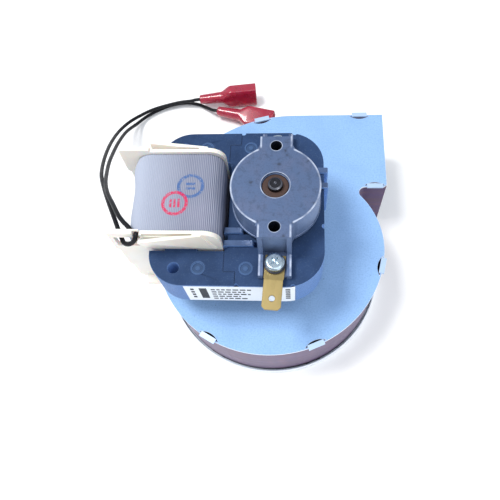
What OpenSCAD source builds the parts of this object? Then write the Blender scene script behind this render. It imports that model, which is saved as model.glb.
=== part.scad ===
// Combustion fan: sheet steel scroll blower driven by a C-frame shaded-pole motor.
// Origin: centre of the inlet eye, in the outer face of the inlet plate.
// +Z runs along the shaft towards the motor, +X towards the outlet.

/* [Housing] */
// Height of the scroll over both plates
housing_h = 32; // [30:1:36]
// Thickness of the motor plate and inlet plate
plate_t = 0.8; // [0.6:0.1:1.0]
// Thickness of the wrapper band
band_t = 0.6; // [0.5:0.1:0.8]
// Radius of the scroll where it is widest
scroll_r_big = 55.8; // [54:0.1:58]
// Radius of the scroll under the shaft
scroll_r_mid = 45.2; // [44:0.1:47]
// Radius of the scroll beside the tongue
scroll_r_small = 34.6; // [34:0.1:36]
// Distance from the shaft to the outlet's open end
outlet_x = 43.7; // [42:0.1:48]
// Height of the outlet's lower wall above the shaft axis
outlet_y = 24.2; // [23:0.1:25]
// Bend radius of the tongue
tongue_r = 2.6; // [2:0.1:3.5]
// How far the inlet plate stands out beyond the motor plate
rim_out = 0.7; // [0.5:0.1:1.2]
// Height of the inlet plate's upturned rim
rim_h = 3; // [2:0.5:5]
// Radius of the inlet eye
eye_r = 24; // [20:0.5:26]
// Height of the collar round the inlet eye
collar_h = 5; // [3:0.5:6]
// Width of each folded band tab
tab_w = 6.4; // [5:0.1:8]
// Diameter of the circle of mounting holes in the inlet plate
inlet_pcd = 76; // [74:1:78]
// Radius of those mounting holes
inlet_hole_r = 2.1; // [1.5:0.1:2.5]

/* [Impeller] */
// Outer radius of the wheel
wheel_r = 34; // [30:0.5:35]
// Radius inside the blades
wheel_in_r = 27; // [24:0.5:28]
// Height of the wheel's front face above the inlet plate
wheel_z = 7; // [6.5:0.5:9]
// Height of the wheel's back face
wheel_top = 26.6; // [24:0.1:27]
// Number of blades
blade_count = 36; // [24:1:40]
// Thickness of the wheel's sheet
wheel_t = 0.6; // [0.4:0.1:0.8]
// Radius of the hub
hub_r = 6; // [5:0.5:8]

/* [Motor core] */
// Height of the bearing bracket, face to foot
bracket_h = 14.4; // [14:0.1:16]
// Thickness of the lamination stack
stack_h = 15.4; // [12:0.1:20]
// Half the stack's length along Y
stack_y = 30.1; // [29:0.1:32]
// Right edge of the stack
stack_right = 16.5; // [16:0.1:18]
// Left edge of the stack
stack_left = -43.5; // [-45:0.1:-42]
// Corner radius on the right
corner_r = 13; // [10:0.5:14]
// Corner radius on the left
corner_l = 12; // [8:0.5:12]
// Radius of the bore that the rotor turns in
bore_r = 13.4; // [13.2:0.1:13.6]
// Radius of the rotor core
rotor_r = 13; // [12.5:0.1:13.1]
// Radius of the two mounting holes in the yoke
yoke_hole_r = 2; // [1.5:0.1:2.5]

/* [Shaft and bearings] */
// Radius of the shaft
shaft_r = 2.38; // [2:0.01:2.5]
// Running clearance on the shaft's radius
run_gap = 0.04; // [0.02:0.01:0.08]
// How far the shaft stands out of the upper bracket
shaft_out = 1.2; // [0.5:0.1:6]
// Outer radius of the bearings
bearing_r = 4.5; // [4:0.1:5]
// Length of the bearings
bearing_len = 7.2; // [6:0.1:8]

/* [Brackets] */
// Outer radius of the bracket cup
cup_r = 14.9; // [14.5:0.1:15]
// Depth of the cup
cup_h = 12; // [10:0.5:12]
// Distance of the bracket holes from the shaft
boss_y = 15; // [14.5:0.1:15.5]
// Radius of the bracket holes
boss_hole_r = 1.9; // [1.8:0.1:2]
// Radius of the screws that hold the motor on its plate
mount_screw_r = 1.6; // [1.4:0.1:1.7]
// Distance of the bracket screws from the shaft
screw_y = 23.1; // [22:0.1:24]
// Radius of the bracket screws
screw_r = 1.75; // [1.5:0.05:1.8]

/* [Coil] */
// Radius of a lead over its insulation
lead_r = 0.8; // [0.7:0.05:0.8]
// Half the length of the coil between the flanges
coil_y = 14.9; // [14:0.1:15]
// Left face of the taped coil
coil_left = -49.2; // [-49.2:0.1:-46]
// Right face of the taped coil
coil_right = -18.4; // [-19:0.1:-18.3]
// How far the coil stands above and below the stack
coil_over = 10; // [8:0.5:10.5]

/* [Hidden] */
$fn = 48;
eps = 0.05;

// Heights of the motor, from the motor plate up
stack_z = housing_h + bracket_h;
stack_top = stack_z + stack_h;
motor_top = stack_top + bracket_h;
shaft_top = motor_top + shaft_out;
shaft_low = 13;

// Scroll: three arcs that meet smoothly, then the tongue bend and the straight outlet walls
join_1 = 210;
join_2 = -8;
c_big = [5.4, 4.2];
c_mid = c_big + (scroll_r_big - scroll_r_mid) * [cos(join_1), sin(join_1)];
c_small = c_mid + (scroll_r_mid - scroll_r_small) * [cos(join_2), sin(join_2)];
tongue_y = outlet_y - tongue_r;
tongue_x = c_small[0] + sqrt(pow(scroll_r_small + tongue_r, 2) - pow(tongue_y - c_small[1], 2));
join_3 = atan2(tongue_y - c_small[1], tongue_x - c_small[0]);
scroll_top_y = c_big[1] + scroll_r_big;
// Where the two tabs on the outlet's straight walls stand along X
tab_low_x = 38.9;
tab_high_x = 33.8;
tab_arcs = [[c_mid, scroll_r_mid, 240.6], [c_mid, scroll_r_mid, -66], [c_mid, scroll_r_mid, -12.4],
    [c_big, scroll_r_big, 104.6], [c_big, scroll_r_big, 146], [c_big, scroll_r_big, 190]];
band_in = 0.6;

function arc(c, r, a0, a1, n) =
    [for (i = [0:n]) let (a = a0 + (a1 - a0) * i / n) c + r * [cos(a), sin(a)]];

// Outline of the scroll, moved out by o; closed at the outlet by a straight line at x_end
function scroll_outline(o, x_end) = concat(
    [[x_end, scroll_top_y + o]],
    arc(c_big, scroll_r_big + o, 90, join_1, 36),
    arc(c_mid, scroll_r_mid + o, join_1, 360 + join_2, 40),
    arc(c_small, scroll_r_small + o, join_2, join_3, 12),
    arc([tongue_x, tongue_y], tongue_r - o, 180 + join_3, 90, 10),
    [[x_end, outlet_y - o]]);

// Places x 0 on the scroll's edge and x+ outwards, at each folded tab
module at_tabs() {
    for (t = tab_arcs)
        translate([t[0][0], t[0][1], 0]) rotate([0, 0, t[2]]) translate([t[1], 0, 0]) children();
    translate([tab_low_x, outlet_y, 0]) rotate([0, 0, -90]) children();
    translate([tab_high_x, scroll_top_y, 0]) rotate([0, 0, 90]) children();
}

module tab_slot() {
    slot_in = 1.5;
    slot_r = 7;
    intersection() {
        translate([-band_in - slot_in + slot_r, 0, -eps]) cylinder(r = slot_r, h = plate_t + 2 * eps);
        translate([-band_in - slot_in - 1, -tab_w, -1]) cube([slot_in + 1, 2 * tab_w, 4]);
    }
}

module motor_plate() {
    corner_cut = 1;
    color("lightsteelblue") difference() {
        translate([0, 0, housing_h - plate_t]) linear_extrude(plate_t)
            polygon(concat([[outlet_x, scroll_top_y]], scroll_outline(0, outlet_x - corner_cut),
                [[outlet_x, outlet_y + corner_cut]]));
        translate([0, 0, housing_h - plate_t]) at_tabs() tab_slot();
        translate([0, 0, housing_h - 2]) cylinder(r = 8, h = 3);
        for (s = [-1, 1])
            translate([0, s * boss_y, housing_h - 2]) cylinder(r = boss_hole_r + 0.2, h = 3);
    }
}

module scroll_band() {
    fold_out = 2;
    color("rosybrown") {
        difference() {
            translate([0, 0, plate_t]) linear_extrude(housing_h - 2 * plate_t)
                polygon(scroll_outline(-band_in, outlet_x));
            translate([0, 0, plate_t - eps]) linear_extrude(housing_h - 2 * plate_t + 2 * eps)
                polygon(scroll_outline(-band_in - band_t, outlet_x + 1));
        }
        at_tabs() {
            translate([-band_in - band_t, -tab_w / 2, housing_h - plate_t - 1])
                cube([band_t, tab_w, plate_t + 1 + band_t]);
            translate([-band_in - band_t, -tab_w / 2, housing_h])
                cube([fold_out, tab_w, band_t]);
            translate([-band_in - band_t, -tab_w / 2, 0]) cube([band_t, tab_w, plate_t + 1]);
        }
    }
}

module inlet_plate() {
    rim_t = 0.6;
    color("lightsteelblue") difference() {
        union() {
            linear_extrude(plate_t) polygon(scroll_outline(rim_out, outlet_x));
            difference() {
                linear_extrude(rim_h) polygon(scroll_outline(rim_out, outlet_x));
                translate([0, 0, -1]) linear_extrude(rim_h + 2)
                    polygon(scroll_outline(rim_out - rim_t, outlet_x + 1));
            }
            cylinder(r = eye_r + plate_t, h = collar_h, $fn = 96);
        }
        translate([0, 0, -1]) cylinder(r = eye_r, h = collar_h + 2, $fn = 96);
        for (a = [45:90:315])
            rotate([0, 0, a]) translate([inlet_pcd / 2, 0, -1]) cylinder(r = inlet_hole_r, h = 3);
        at_tabs() translate([-band_in - band_t, -tab_w / 2, -1]) cube([band_t, tab_w, 3]);
    }
}

// Wheel: a back plate, curved blades, a front ring and a hub with a set screw
spigot_r = 3.6;
set_screw_z = 20;

module impeller_back_plate() {
    color("silver") translate([0, 0, wheel_top - wheel_t]) difference() {
        cylinder(r = wheel_r, h = wheel_t, $fn = 96);
        translate([0, 0, -1]) cylinder(r = spigot_r, h = 3);
    }
}

module impeller_blades() {
    blade_r = 6.4;
    blade_sweep = 78;
    blade_h = wheel_top - wheel_z - 2 * wheel_t;
    foot_r = wheel_in_r + 0.5;
    color("silver") for (i = [0:blade_count - 1])
        rotate([0, 0, i * 360 / blade_count]) translate([foot_r, 0, wheel_z + wheel_t])
            rotate([0, 0, 76]) translate([-blade_r, 0, 0]) rotate([0, 0, -blade_sweep])
                rotate_extrude(angle = blade_sweep) translate([blade_r - 0.2, 0])
                    square([0.4, blade_h]);
}

module impeller_front_ring() {
    color("silver") translate([0, 0, wheel_z]) difference() {
        cylinder(r = wheel_r, h = wheel_t, $fn = 96);
        translate([0, 0, -1]) cylinder(r = wheel_in_r, h = 3, $fn = 96);
    }
}

module impeller_hub() {
    hub_low = 15;
    color("gainsboro") difference() {
        union() {
            translate([0, 0, hub_low]) cylinder(r = hub_r, h = wheel_top - wheel_t - hub_low);
            translate([0, 0, wheel_top - wheel_t - 1]) cylinder(r = spigot_r, h = wheel_t + 1.8);
        }
        translate([0, 0, hub_low - 1]) cylinder(r = shaft_r, h = 20);
        translate([0, 0, set_screw_z]) rotate([0, 90, 0]) cylinder(r = 2, h = 20);
    }
}

module impeller_set_screw() {
    color("dimgray") translate([0, 0, set_screw_z]) rotate([0, 90, 0]) difference() {
        translate([0, 0, shaft_r]) cylinder(r = 2, h = 4.4);
        translate([0, 0, shaft_r + 2.4]) cylinder(r = 1.15, h = 4, $fn = 6);
    }
}

module motor_shaft() {
    chamfer = 0.5;
    dimple = 0.5;
    color("silver") rotate_extrude() polygon([[0, shaft_low], [shaft_r - chamfer, shaft_low],
        [shaft_r, shaft_low + chamfer], [shaft_r, shaft_top - chamfer],
        [shaft_r - chamfer, shaft_top], [dimple, shaft_top], [0, shaft_top - dimple]]);
}

// Rotor: laminated core, cast cage with its bars and end rings, thrust washers
bar_count = 17;
bar_r = 0.9;
bar_ring = 11.2;

module at_bars() {
    for (i = [0:bar_count - 1])
        rotate([0, 0, i * 360 / bar_count]) translate([bar_ring, 0, 0]) children();
}

module rotor_core() {
    color("slategray") difference() {
        translate([0, 0, stack_z]) cylinder(r = rotor_r, h = stack_h, $fn = 96);
        translate([0, 0, stack_z - 1]) cylinder(r = shaft_r, h = stack_h + 2);
        translate([0, 0, stack_z - 1]) at_bars() cylinder(r = bar_r, h = stack_h + 2, $fn = 24);
    }
}

module rotor_cage() {
    ring_h = 2.2;
    color("lightgray") {
        for (z = [stack_z - ring_h, stack_top]) translate([0, 0, z]) difference() {
            cylinder(r = 12.5, h = ring_h, $fn = 96);
            translate([0, 0, -1]) cylinder(r = 7.5, h = ring_h + 2);
        }
        translate([0, 0, stack_z - 1]) at_bars() cylinder(r = bar_r, h = stack_h + 2, $fn = 24);
    }
}

module thrust_washers() {
    play = 0.15;
    washer_h = bracket_h - seat_z - bearing_len - play;
    color("ivory") for (z = [stack_top, stack_z - washer_h]) translate([0, 0, z]) difference() {
        cylinder(r = 4.2, h = washer_h);
        translate([0, 0, -1]) cylinder(r = shaft_r, h = washer_h + 2);
    }
}

// Stack: the field core holds the rotor bore, the yoke core passes through the coil
joint_in = -17.5;
joint_out = -13.5;
joint_y = 25;
arm_y = 17.5;
leg = [-38, -27];
rivets_field = [-9.9, 23.7];
rivets_yoke = [-26.1, 23.7];
rivet_r = 2.35;
yoke_hole = [-34.5, 23.8];
ring_half = 1.1;
ring_t = 1.3;
// Shading rings: distance from the shaft along Y, and where the inner leg stands along X
rings_upper = [[7.4, 12], [13.4, 7.4]];
rings_lower = [[10.2, 11.2], [15, 7.4]];

function corner_right(o, s) = let (c = [stack_right - corner_r, s * (stack_y - corner_r)])
    arc(c, corner_r + o, s < 0 ? -90 : 0, s < 0 ? 0 : 90, 14);

function corner_left(o, s) = let (c = [stack_left + corner_l, s * (stack_y - corner_l)])
    arc(c, corner_l + o, s < 0 ? 180 : 90, s < 0 ? 270 : 180, 14);

module ring_slots(rings) {
    slot_in = 3.2;
    for (g = rings) translate([g[1] - slot_in, g[0] - ring_half, stack_z - 1])
        cube([slot_in + ring_t, 2 * ring_half, stack_h + 2]);
}

module field_core() {
    notch_r = 0.9;
    color("#34465c") difference() {
        translate([0, 0, stack_z]) linear_extrude(stack_h) polygon(concat(
            [[joint_out, -stack_y]], corner_right(0, -1), corner_right(0, 1),
            [[joint_out, stack_y], [joint_out, joint_y], [joint_in, joint_y], [joint_in, arm_y],
             [-stack_right, arm_y - 1], [-stack_right, 1 - arm_y], [joint_in, -arm_y],
             [joint_in, -joint_y], [joint_out, -joint_y]]));
        translate([0, 0, stack_z - 1]) {
            cylinder(r = bore_r, h = stack_h + 2, $fn = 96);
            for (s = [-1, 1]) {
                translate([0, s * screw_y, 0]) cylinder(r = screw_r + 0.2, h = stack_h + 2);
                translate([rivets_field[0], s * rivets_field[1], 0])
                    cylinder(r = rivet_r, h = stack_h + 2);
                translate([6, s * stack_y, 0]) cylinder(r = notch_r, h = stack_h + 2, $fn = 24);
                translate([joint_out + 0.6, s * stack_y, 0])
                    cylinder(r = notch_r, h = stack_h + 2, $fn = 24);
            }
            translate([stack_right, -8, 0]) cylinder(r = notch_r, h = stack_h + 2, $fn = 24);
        }
        ring_slots(rings_upper);
        rotate([0, 0, 180]) ring_slots(rings_lower);
    }
}

module yoke_core() {
    color("#34465c") difference() {
        translate([0, 0, stack_z]) linear_extrude(stack_h) polygon(concat(
            [[joint_out, stack_y]], corner_left(0, 1), [[stack_left, arm_y], [leg[0], arm_y],
             [leg[0], -arm_y], [stack_left, -arm_y]], corner_left(0, -1),
            [[joint_out, -stack_y], [joint_out, -joint_y], [joint_in, -joint_y],
             [joint_in, -arm_y], [leg[1], -arm_y], [leg[1], arm_y], [joint_in, arm_y],
             [joint_in, joint_y], [joint_out, joint_y]]));
        translate([0, 0, stack_z - 1]) for (s = [-1, 1]) {
            translate([yoke_hole[0], s * yoke_hole[1], 0])
                cylinder(r = yoke_hole_r, h = stack_h + 2);
            translate([rivets_yoke[0], s * rivets_yoke[1], 0])
                cylinder(r = rivet_r, h = stack_h + 2);
        }
    }
}

module core_rivets() {
    dish = 0.35;
    centre_r = 0.8;
    color("#3d4f66") for (s = [-1, 1], p = [rivets_field, rivets_yoke])
        translate([p[0], s * p[1], stack_z]) {
            difference() {
                cylinder(r = rivet_r, h = stack_h);
                for (z = [-1, stack_h - dish]) translate([0, 0, z])
                    cylinder(r = rivet_r - 0.5, h = 1 + dish);
            }
            cylinder(r = centre_r, h = stack_h - 0.1, $fn = 24);
        }
}

// One closed loop of copper bar in the plane y = g[0]
module shading_ring(g) {
    out_x = stack_right + 0.1;
    translate([0, g[0] - ring_half, 0]) difference() {
        translate([g[1], 0, stack_z - ring_t])
            cube([out_x + ring_t - g[1], 2 * ring_half, stack_h + 2 * ring_t]);
        translate([g[1] + ring_t, -1, stack_z])
            cube([out_x - g[1] - ring_t, 2 * ring_half + 2, stack_h]);
    }
}

module shading_rings_upper() {
    color("slateblue") for (g = rings_upper) shading_ring(g);
}

module shading_rings_lower() {
    color("slateblue") rotate([0, 0, 180]) for (g = rings_lower) shading_ring(g);
}

// Coil: a bobbin with two winged flanges, copper winding and tape over it
flange_t = 1.6;
flange_y = coil_y + 0.1;
flange_top = 11;
flange_right = -18;
flange_left = -44.5;
wing_left = -55.2;
wing_top = 12;
wing_low = housing_h + 1.2;
tube_gap = 0.15;
tube_t = 1.2;

function box_outline(x0, x1, z0, z1, r) = concat(
    arc([x1 - r, z0 + r], r, -90, 0, 8), arc([x1 - r, z1 - r], r, 0, 90, 8),
    arc([x0 + r, z1 - r], r, 90, 180, 8), arc([x0 + r, z0 + r], r, 180, 270, 8));

// Turns an outline in X and Z into a slab between y0 and y1
module slab(points, y0, y1) {
    translate([0, y1, 0]) rotate([90, 0, 0]) linear_extrude(y1 - y0) polygon(points);
}

module coil_tube(grow) {
    slab(box_outline(leg[0] - grow, leg[1] + grow, stack_z - grow, stack_top + grow,
        0.3 + grow / 2), -flange_y - flange_t - 1, flange_y + flange_t + 1);
}

// Flange and wing seen along Y: rounded towards the core, stepped on the free side
function flange_outline() = concat(
    arc([flange_right - 6, stack_z - flange_top + 6], 6, -90, 0, 8),
    arc([flange_right - 6, stack_top + flange_top - 6], 6, 0, 90, 8),
    [[flange_left, stack_top + flange_top], [flange_left, stack_top + wing_top],
     [wing_left + 0.5, stack_top + wing_top], [wing_left, stack_top + wing_top - 0.8],
     [wing_left, stack_top - 0.8], [wing_left + 1, stack_top - 1.8],
     [wing_left + 1, stack_z + 0.8], [wing_left + 1.9, stack_z - 0.2],
     [wing_left + 1.9, wing_low + 3.4], [wing_left + 4.6, wing_low],
     [flange_left - 2.4, wing_low], [flange_left, stack_z - flange_top]]);

// One flange, at +Y; the outer lip leans away from the coil towards the free side
module flange() {
    lip_t = 1.1;
    lip_top = stack_top + flange_top;
    foot = [5.2, 4.8, 2.6];
    slab(flange_outline(), flange_y, flange_y + flange_t);
    hull() {
        translate([flange_left, flange_y + flange_t - 0.4, stack_top + 0.4])
            cube([flange_right - 2 - flange_left, 0.8, 0.4]);
        translate([flange_left, flange_y + flange_t + 1.9, lip_top - 0.4])
            cube([0.6, lip_t, 0.4]);
        translate([flange_right - 6.6, flange_y + flange_t - 0.6, lip_top - 0.4])
            cube([0.6, lip_t, 0.4]);
    }
    translate([flange_left - 6, flange_y, wing_low]) cube(foot);
}

// Channel along the top of a flange, narrower towards the core
module flange_channel() {
    hull() for (e = [[flange_left + 1, 1.3], [flange_left + 17, 0.5]])
        translate([e[0], flange_y + 1.2, stack_top + flange_top - 1.8]) cube([0.6, e[1], 3]);
}

// Window through a wing, and the notch beside it where the leads come out
module wing_window() {
    window = [wing_left + 1.6, flange_left - 1.1, stack_top + 2.1, stack_top + 8.7];
    translate([window[0], flange_y - 1, window[2]])
        cube([window[1] - window[0], flange_t + 2, window[3] - window[2]]);
    translate([flange_left - 2.1, flange_y + 0.5, stack_top + 8.2]) cube([2.2, 4, 5]);
}

module bobbin() {
    color("ivory") difference() {
        union() {
            coil_tube_body();
            flange();
            mirror([0, 1, 0]) flange();
        }
        coil_tube(tube_gap);
        mirror([0, 1, 0]) wing_window();
        for (s = [0, 1]) mirror([0, s, 0]) flange_channel();
    }
}

module coil_tube_body() {
    grow = tube_gap + tube_t;
    slab(box_outline(leg[0] - grow, leg[1] + grow, stack_z - grow, stack_top + grow, 0.9),
        -flange_y - flange_t, flange_y + flange_t);
}

tape_t = 0.5;

module winding() {
    in = tube_gap + tube_t + 0.05;
    color("peru") difference() {
        slab(box_outline(coil_left + tape_t, coil_right - tape_t,
            stack_z - coil_over + tape_t, stack_top + coil_over - tape_t, 6.5), -coil_y, coil_y);
        slab(box_outline(leg[0] - in, leg[1] + in, stack_z - in, stack_top + in, 0.9),
            -coil_y - 1, coil_y + 1);
    }
}

module winding_tape() {
    color("whitesmoke") difference() {
        slab(box_outline(coil_left, coil_right, stack_z - coil_over, stack_top + coil_over, 7),
            -coil_y, coil_y);
        slab(box_outline(coil_left + tape_t, coil_right - tape_t,
            stack_z - coil_over + tape_t, stack_top + coil_over - tape_t, 6.5),
            -coil_y - 1, coil_y + 1);
    }
}

// Bearing bracket: its face is at z 0 and its feet are at z -bracket_h
arm_x = 5.2;
rib_in = 3.9;
rib_out = 5.5;
seat_z = 0.8;
face_t = 2.2;
foot_t = 1.6;
foot_end = 27.4;
felt_r = 6.3;
felt_z = 4;
retainer_z = 7.2;

module rib() {
    rotate([90, 0, 90]) linear_extrude(rib_out - rib_in) polygon([[13.6, 0], [18.7, 0],
        [20, -bracket_h + 3.4], [foot_end, -bracket_h + 3.2], [foot_end, -bracket_h],
        [16.6, -bracket_h], [15.4, -cup_h], [13.6, -cup_h]]);
}

module bracket_arm() {
    translate([-arm_x, 10, -face_t]) cube([2 * arm_x, 8.7, face_t]);
    translate([rib_in, 0, 0]) rib();
    translate([-rib_out, 0, 0]) rib();
    translate([-rib_in - eps, 16.9, -bracket_h]) cube([2 * (rib_in + eps), 1.6, bracket_h - 1]);
    translate([-rib_in - eps, 16.9, -bracket_h])
        cube([2 * (rib_in + eps), foot_end - 17.3, foot_t]);
    for (s = [0, 1]) mirror([s, 0, 0]) translate([0, 0, -cup_h]) linear_extrude(cup_h)
        polygon([[arm_x - 0.2, 12.6], [8, 12.4], [6.3, 13.8], [rib_out, 15.4], [arm_x - 0.2, 15.4]]);
}

module bracket_casting(hole_r) {
    difference() {
        union() {
            difference() {
                union() {
                    translate([0, 0, -cup_h]) cylinder(r = cup_r, h = cup_h, $fn = 96);
                    translate([0, 0, -cup_h]) cylinder(r = cup_r + 0.4, h = 0.8, $fn = 96);
                    bracket_arm();
                    mirror([0, 1, 0]) bracket_arm();
                }
                translate([0, 0, -cup_h - 1])
                    cylinder(r = cup_r - 1.7, h = cup_h + 1 - face_t, $fn = 96);
            }
            translate([0, 0, -8.6]) cylinder(r = 7.6, h = 7);
            for (s = [-1, 1]) translate([0, s * boss_y, -10]) cylinder(r = 3.2, h = 9);
        }
        translate([0, 0, -20]) cylinder(r = bearing_r, h = 21);
        translate([0, 0, -seat_z]) cylinder(r = bearing_r + 0.25, h = 2);
        translate([0, 0, -12]) cylinder(r = felt_r, h = 12 - felt_z);
        for (s = [-1, 1]) {
            translate([0, s * boss_y, -12]) cylinder(r = hole_r, h = 13);
            translate([0, s * screw_y, -bracket_h - 1]) cylinder(r = screw_r + 0.1, h = 4);
        }
    }
}

// Places a child drawn under a bracket face at z 0 on the upper or the lower bracket
module on_upper() {
    translate([0, 0, motor_top]) children();
}

module on_lower() {
    translate([0, 0, housing_h]) rotate([180, 0, 0]) children();
}

module upper_bracket() {
    color("darkgray") on_upper() bracket_casting(boss_hole_r);
}

module lower_bracket() {
    color("darkgray") on_lower() bracket_casting(mount_screw_r);
}

module bearing() {
    bevel = 0.3;
    low = -seat_z - bearing_len;
    rotate_extrude() polygon([[shaft_r + run_gap, -seat_z], [bearing_r - bevel, -seat_z],
        [bearing_r, -seat_z - bevel], [bearing_r, low], [shaft_r + run_gap, low]]);
}

module washer(z, r_in, r_out, h) {
    translate([0, 0, z]) difference() {
        cylinder(r = r_out, h = h);
        translate([0, 0, -1]) cylinder(r = r_in, h = h + 2);
    }
}

module upper_bearing() {
    color("sienna") on_upper() bearing();
}

module lower_bearing() {
    color("sienna") on_lower() bearing();
}

module upper_oil_felt() {
    color("wheat") on_upper() washer(-retainer_z, bearing_r, felt_r, retainer_z - felt_z);
}

module lower_oil_felt() {
    color("wheat") on_lower() washer(-retainer_z, bearing_r, felt_r, retainer_z - felt_z);
}

module upper_retainer() {
    color("gray") on_upper() washer(-retainer_z - 0.5, bearing_r, felt_r, 0.5);
}

module lower_retainer() {
    color("gray") on_lower() washer(-retainer_z - 0.5, bearing_r, felt_r, 0.5);
}

// Fasteners and trim
tab_t = 0.8;
lock_t = 0.8;
foot_z = stack_top + foot_t;
head_r = 3.25;
head_h = 2.2;
nut_h = 2.8;

// Pan head screw with a cross recess; the head's seat is at z 0 and the shank runs down
module pan_screw(r, length) {
    dome = 0.9;
    recess = 3;
    recess_w = 0.7;
    recess_deep = 1.1;
    difference() {
        rotate_extrude() polygon(concat([[0, -length], [r - 0.3, -length], [r, 0.3 - length],
            [r, 0], [head_r, 0]], [for (a = [0:15:90])
            [head_r - dome + dome * cos(a), head_h - dome + dome * sin(a)]], [[0, head_h]]));
        for (a = [45, 135]) rotate([0, 0, a])
            translate([-recess / 2, -recess_w / 2, head_h - recess_deep]) cube([recess, recess_w, 2]);
    }
}

module bracket_screws() {
    reach = foot_t + stack_h + foot_t + nut_h + 1;
    color("gainsboro") {
        translate([0, -screw_y, foot_z + tab_t + lock_t]) pan_screw(screw_r, reach + tab_t + lock_t);
        translate([0, screw_y, foot_z + lock_t]) pan_screw(screw_r, reach + lock_t);
    }
}

module lock_washers() {
    color("dimgray") {
        translate([0, -screw_y, 0]) washer(foot_z + tab_t, screw_r + 0.1, 3.6, lock_t);
        translate([0, screw_y, 0]) washer(foot_z, screw_r + 0.1, 3.6, lock_t);
    }
}

module bracket_nuts() {
    color("gainsboro") for (s = [-1, 1])
        translate([0, s * screw_y, stack_z - foot_t - nut_h]) difference() {
            rotate([0, 0, 30]) cylinder(r = 4, h = nut_h, $fn = 6);
            translate([0, 0, -1]) cylinder(r = screw_r, h = nut_h + 2);
        }
}

module mount_screws() {
    color("gainsboro") for (s = [-1, 1])
        translate([0, s * boss_y, housing_h - plate_t]) rotate([180, 0, 0])
            pan_screw(mount_screw_r, 9);
}

// Drawn from its screw hole at y 0; it is clamped a little askew
module ground_tab() {
    blade = 3.175;
    base = 3.4;
    root_y = 3.2;
    neck_y = -4.5;
    bend_y = -5.5;
    end_y = -15.2;
    hole_y = -11.5;
    drop = 1.2;
    askew = -4;
    color("goldenrod") translate([0, -screw_y, foot_z]) rotate([0, 0, askew]) difference() {
        intersection() {
            rotate([90, 0, 90]) translate([0, 0, -base]) linear_extrude(2 * base) polygon([
                [root_y, 0], [bend_y, 0], [end_y, -drop], [end_y, tab_t - drop],
                [bend_y, tab_t], [root_y, tab_t]]);
            translate([0, 0, -5]) linear_extrude(10) polygon([[-base, root_y], [base, root_y],
                [base, neck_y], [blade, neck_y - 0.8], [blade, end_y + 1], [blade - 1, end_y],
                [1 - blade, end_y], [-blade, end_y + 1], [-blade, neck_y - 0.8],
                [-base, neck_y]]);
        }
        translate([0, 0, -1]) cylinder(r = screw_r + 0.1, h = 4);
        translate([0, hole_y, -4]) cylinder(r = 1, h = 8);
    }
}

module rating_label() {
    label_t = 0.12;
    label_x = [-30.7, 6.7];
    label_z = [stack_z + 0.4, stack_top - 0.6];
    color("white") translate([0, 0, label_z[0]]) linear_extrude(label_z[1] - label_z[0])
        intersection() {
            difference() {
                polygon(concat(corner_left(label_t, -1), corner_right(label_t, -1), [[0, 0]]));
                polygon(concat(corner_left(0, -1), corner_right(0, -1), [[0, 0]]));
            }
            translate([label_x[0], -stack_y - 1]) square([label_x[1] - label_x[0], 3]);
        }
}

// Leads: each comes over the lower flange's lip, lead A dips back through the wing's window and
// lead B passes beside it, then both fall to the surface that the fan stands on. Lead A crosses
// over lead B there, and each ends inside its terminal's barrel.
lead_a_route = [
    [-45.5, -15.5, 72], [-45.5, -16.5, 72], [-46, -17.5, 71], [-47.2, -18, 69.5],
    [-49, -18, 68.2], [-50.8, -17, 67.3], [-52, -15, 67], [-53.5, -12, 67],
    [-56, -7, 66], [-61, 2, 61], [-66, 11, 54.5], [-71, 21, 47],
    [-75, 32, 38], [-78, 44, 29], [-80, 56, 20], [-80.5, 67, 12],
    [-78.5, 76, 6.5], [-74, 81.5, 4.5], [-68, 86, 3.5], [-61, 89, 3],
    [-54, 90.5, 3.5], [-48, 90.5, 4.5], [-44.5, 90.5, 5.5], [-38, 91, 5.5]];
lead_b_route = [
    [-47.5, -15, 72], [-48, -14, 72], [-49, -12.8, 71.8], [-50.8, -11, 71.2],
    [-53.2, -8, 70], [-57, -2, 66.5], [-61.5, 5, 61.5], [-65.5, 13, 55],
    [-69, 22, 47], [-72, 32, 39], [-74.5, 43, 30], [-76.5, 55, 20.5],
    [-77, 67, 11.5], [-75, 77, 4], [-71, 83.5, 1.5], [-65, 88, 1],
    [-58, 91, 1], [-51, 92, 1], [-45, 91, 1], [-40, 88, 2],
    [-37, 85.5, 3.5], [-35, 84.3, 4.5], [-28.5, 82.8, 4.5]];
lead_sides = 8;

function spline(p, i, t) = let (a = p[max(i - 1, 0)], b = p[i], c = p[i + 1],
    d = p[min(i + 2, len(p) - 1)])
    0.5 * (2 * b + (c - a) * t + (2 * a - 5 * b + 4 * c - d) * t * t
        + (3 * b - a - 3 * c + d) * t * t * t);

function route(p) = concat([for (i = [0:len(p) - 2], t = [0, 0.5]) if (i % 2 == 1 || t == 0)
    spline(p, i, t)], [p[len(p) - 1]]);

function unit(v) = v / norm(v);

// Tube swept along the points, with flat ends
module tube(p, r) {
    n = len(p);
    sides = lead_sides;
    rings = [for (i = [0:n - 1]) let (
        along = unit(p[min(i + 1, n - 1)] - p[max(i - 1, 0)]),
        u = unit(cross(along, [0.3, 0.2, 1])),
        v = cross(along, u))
        for (k = [0:sides - 1]) p[i] + r * (cos(k * 360 / sides) * u + sin(k * 360 / sides) * v)];
    walls = [for (i = [0:n - 2], k = [0:sides - 1]) let (m = (k + 1) % sides)
        [i * sides + k, (i + 1) * sides + k, (i + 1) * sides + m, i * sides + m]];
    polyhedron(rings, concat(walls, [[for (k = [0:sides - 1]) k],
        [for (k = [sides - 1:-1:0]) (n - 1) * sides + k]]), convexity = 10);
}

module lead_a() {
    color("black") tube(route(lead_a_route), lead_r);
}

module lead_b() {
    color("black") tube(route(lead_b_route), lead_r);
}

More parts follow.
